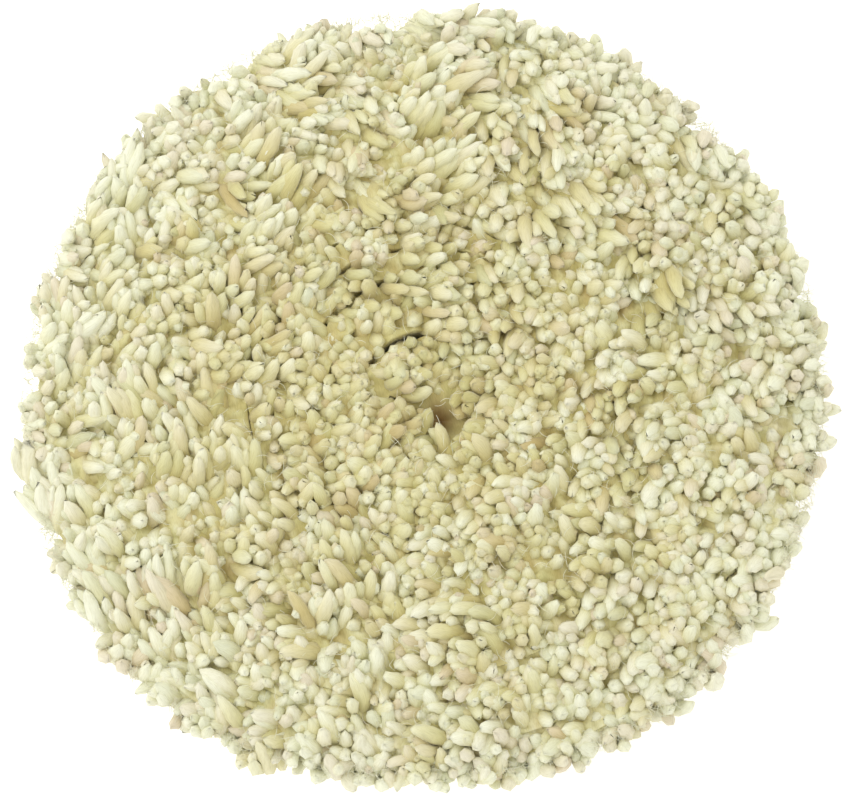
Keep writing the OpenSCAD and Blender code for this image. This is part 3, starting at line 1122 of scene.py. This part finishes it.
class PAD_OT_backing(bpy.types.Operator):
    """Makes the canvas and the felt, and finishes the latex and the film"""
    bl_idname = "pad.backing"
    bl_label = "Backing layers"

    def execute(self, context):
        settings = context.scene.pad_backing
        rng = np.random.default_rng(12)
        cut = settings.ragged_edge, settings.unevenness
        felt, felt_size = flat_layer("felt_cushion", "felt_round", "needled_felt",
                                     felt_material(), rng, *cut)
        canvas, canvas_size = flat_layer("canvas", "canvas_round", "cotton_canvas",
                                         canvas_material(), rng, *cut)
        set_material("latex_coat", latex_material())
        set_material("adhesive_film", film_material())
        return {"FINISHED"}


class PAD_OT_loop_face(bpy.types.Operator):
    """Makes the knitted cloth and its brushed loops"""
    bl_idname = "pad.loop_face"
    bl_label = "Loop face"

    def execute(self, context):
        settings = context.scene.pad_loops
        backing = context.scene.pad_backing
        rng = np.random.default_rng(13)
        cloth, cloth_size = flat_layer("loop_cloth", "loop_cloth_round", "loop_cloth",
                                       loop_cloth_material(), rng, backing.ragged_edge,
                                       backing.unevenness)
        nap = Layer("loop_nap")
        lanes = [Layer(f"{place}_lock_stitches") for place in ("inner", "outer")]
        width = lanes[0].r_out - lanes[0].r_in + 1.2 * MM
        first, middle, last = nap_bands(nap, [lane.middle for lane in lanes], width)
        material = loop_nap_material(settings)
        split = settings.split_r
        nap_piece("loop_nap_inner", [first, (middle[0], split)], nap, settings, rng, material)
        nap_piece("loop_nap_outer", [(split, middle[1]), last], nap, settings, rng, material)
        return {"FINISHED"}


class PAD_OT_sewing(bpy.types.Operator):
    """Makes the edge binding and all the thread stitches"""
    bl_idname = "pad.sewing"
    bl_label = "Binding and stitches"

    def execute(self, context):
        settings = context.scene.pad_sewing
        edge_binding(settings, binding_material(settings))
        material = thread_material(settings)
        binding_stitches(settings, material)
        lock_stitches("inner_lock_stitches", settings, material)
        lock_stitches("outer_lock_stitches", settings, material)
        return {"FINISHED"}


class PAD_OT_stage(bpy.types.Operator):
    """Makes the floor, the lights and the camera"""
    bl_idname = "pad.stage"
    bl_label = "Stage"

    def execute(self, context):
        settings = context.scene.pad_stage
        bpy.ops.object.select_all(action="DESELECT")
        bpy.ops.mesh.primitive_plane_add(size=6, location=(0, 0, 0))
        floor = context.object
        floor.name = "floor"
        material, _, _ = new_material("lit_white_floor", "#ffffff", Roughness=0.9,
                                      Emission_Color=(1, 1, 1, 1), Emission_Strength=settings.floor_glow)
        floor.data.materials.append(material)

        world = bpy.data.worlds.new("soft_room")
        world.use_nodes = True
        background = world.node_tree.nodes["Background"]
        background.inputs["Color"].default_value = (1, 1, 1, 1)
        background.inputs["Strength"].default_value = settings.room_light
        context.scene.world = world
        context.scene.view_settings.view_transform = "Standard"

        add_light("key_light", (-0.38, 0.3, 0.6), 0.8, settings.key_power)

        camera_data = bpy.data.cameras.new("camera")
        camera = bpy.data.objects.new("camera", camera_data)
        context.scene.collection.objects.link(camera)
        middle = (CAD_LOW + CAD_HIGH) / 2
        back = Vector((0, -math.cos(settings.elevation), math.sin(settings.elevation)))
        camera.location = middle + back * settings.distance
        turn = (-back).to_track_quat("-Z", "Y")
        camera.rotation_euler = (turn.to_matrix().to_4x4()
                                 @ Matrix.Rotation(settings.roll, 4, "Z")).to_euler()
        camera_data.lens = camera_data.sensor_width * settings.distance / settings.field_width
        camera_data.clip_start = 0.01
        camera_data.clip_end = 20
        camera_data.shift_x, camera_data.shift_y = settings.shift
        context.scene.camera = camera
        return {"FINISHED"}


def add_light(name, place, size, power):
    """A soft square light that faces the pad."""
    data = bpy.data.lights.new(name, "AREA")
    data.energy = power
    data.size = size
    light = bpy.data.objects.new(name, data)
    light.location = place
    light.rotation_euler = (-Vector(place)).to_track_quat("-Z", "Y").to_euler()
    bpy.context.scene.collection.objects.link(light)


class PAD_PT_panel(bpy.types.Panel):
    """Lists what the pad is made of"""
    bl_idname = "PAD_PT_panel"
    bl_label = "Wool polishing pad"
    bl_space_type = "VIEW_3D"
    bl_region_type = "UI"
    bl_category = "Pad"

    def draw(self, context):
        for operator in OPERATORS:
            self.layout.operator(operator.bl_idname)


SETTINGS = {
    "pad_wool": PadWoolSettings,
    "pad_backing": PadBackingSettings,
    "pad_loops": PadLoopSettings,
    "pad_sewing": PadSewingSettings,
    "pad_stage": PadStageSettings,
}
OPERATORS = [PAD_OT_wool, PAD_OT_backing, PAD_OT_loop_face, PAD_OT_sewing, PAD_OT_stage]


def register():
    for group in SETTINGS.values():
        bpy.utils.register_class(group)
    for name, group in SETTINGS.items():
        setattr(bpy.types.Scene, name, bpy.props.PointerProperty(type=group))
    for operator in OPERATORS:
        bpy.utils.register_class(operator)
    bpy.utils.register_class(PAD_PT_panel)


def unregister():
    bpy.utils.unregister_class(PAD_PT_panel)
    for operator in reversed(OPERATORS):
        bpy.utils.unregister_class(operator)
    for name in SETTINGS:
        delattr(bpy.types.Scene, name)
    for group in reversed(SETTINGS.values()):
        bpy.utils.unregister_class(group)


def main():
    register()
    bpy.ops.pad.wool()
    bpy.ops.pad.backing()
    bpy.ops.pad.loop_face()
    bpy.ops.pad.sewing()
    bpy.ops.pad.stage()


if __name__ == "__main__":
    main()
